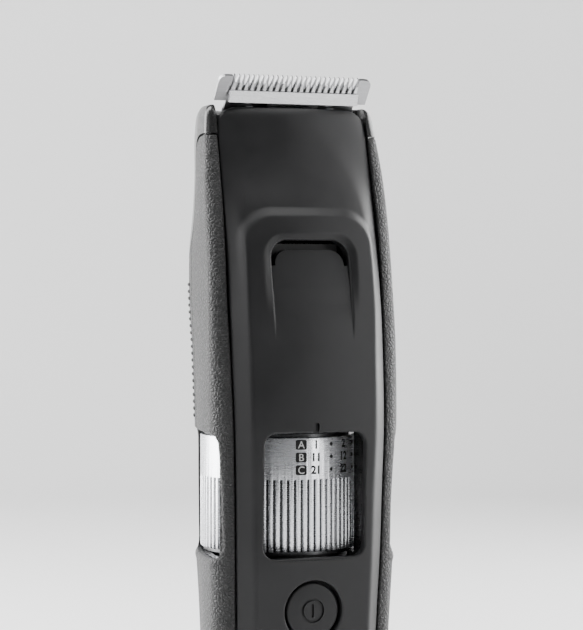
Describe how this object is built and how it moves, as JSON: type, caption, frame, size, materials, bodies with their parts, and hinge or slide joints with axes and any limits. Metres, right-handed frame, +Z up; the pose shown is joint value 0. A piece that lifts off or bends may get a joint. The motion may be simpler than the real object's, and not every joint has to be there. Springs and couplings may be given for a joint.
{
  "type": "beard trimmer",
  "caption": "Cordless beard and hair trimmer with a flat-tipped blade block, turning length dial, comb carriage and front power button.",
  "frame": {"origin": "where the length dial's axis meets the flat base", "axes": "+Z up the body towards the blades, front face towards -Y, +X to the right seen from the front"},
  "size_m": [0.0488, 0.0472, 0.1786],
  "materials": {
    "soft_touch_black": "matte soft-touch coating",
    "satin_black": "satin moulded ABS",
    "grip_elastomer": "fine leather grain, matte elastomer",
    "black_plastic": "plain moulded plastic",
    "contact_brass": "plated",
    "silver_dial": "satin silver, smooth above and ribbed below",
    "spring_steel": "bright",
    "battery_wrap": "shrink sleeve",
    "board_laminate": "solder mask",
    "seal_rubber": "matte",
    "lamp_lens": "smoked translucent lens",
    "motor_steel": "plated can",
    "blade_steel": "ground and brushed",
    "screw_steel": "plated"
  },
  "bodies": {
    "body": {"front_housing": "soft_touch_black", "back_housing": "satin_black", "base_cap": "satin_black", "left_grip": "grip_elastomer", "right_grip": "grip_elastomer", "back_grip": "grip_elastomer", "inlet_socket": "black_plastic", "chassis": "black_plastic", "battery_tray": "black_plastic", "power_switch": "black_plastic", "motor_mount": "black_plastic", "head_deck": "black_plastic", "inlet_pin_left": "contact_brass", "inlet_pin_right": "contact_brass", "battery_contact_top": "contact_brass", "battery_contact_bottom": "contact_brass", "dial_detent_spring": "spring_steel", "battery": "battery_wrap", "circuit_board": "board_laminate", "button_seal": "seal_rubber", "head_seal": "seal_rubber", "charge_lamp": "lamp_lens", "motor_can": "motor_steel", "case_screw_upper_left": "screw_steel", "case_screw_upper_right": "screw_steel", "case_screw_lower_left": "screw_steel", "case_screw_lower_right": "screw_steel"},
    "dial": {"length_dial": "silver_dial"},
    "comb_carriage": {"comb_carriage": "black_plastic"},
    "power_button": {"power_button": "soft_touch_black"},
    "motor_rotor": {"motor_shaft": "motor_steel", "eccentric_cam": "black_plastic"},
    "blade_block": {"blade_holder": "black_plastic", "fixed_blade": "blade_steel", "blade_screw_left": "screw_steel", "blade_screw_right": "screw_steel", "blade_spring_left": "spring_steel", "blade_spring_right": "spring_steel"},
    "cutter": {"moving_blade": "blade_steel", "drive_fork": "black_plastic"}
  },
  "joints": [
    {"name": "dial_turn", "type": "hinge", "parent": "body", "child": "dial", "pos_m": [0, 0, 0.0772], "axis": [0, 0, -1], "range_deg": [0, 234]},
    {"name": "comb_carriage_slide", "type": "slide", "parent": "body", "child": "comb_carriage", "axis": [0, 0, 1], "range_m": [0, 0.009]},
    {"name": "power_button_press", "type": "slide", "parent": "body", "child": "power_button", "axis": [0, 1, 0], "range_m": [0, 0.0008], "stiffness_N_per_m": 1500},
    {"name": "motor_spin", "type": "hinge", "parent": "body", "child": "motor_rotor", "pos_m": [0, 0, 0.145], "axis": [0, 0, 1], "continuous": true},
    {"name": "blade_block_lift", "type": "slide", "parent": "body", "child": "blade_block", "axis": [0, 0, 1], "range_m": [0, 0.03]},
    {"name": "cutter_stroke", "type": "slide", "parent": "blade_block", "child": "cutter", "axis": [1, 0, 0], "range_m": [-0.0012, 0.0012]}
  ],
  "couplings": [
    {"joint": "comb_carriage_slide", "follows": "dial_turn", "m_per_rad": 0.0022037}
  ]
}
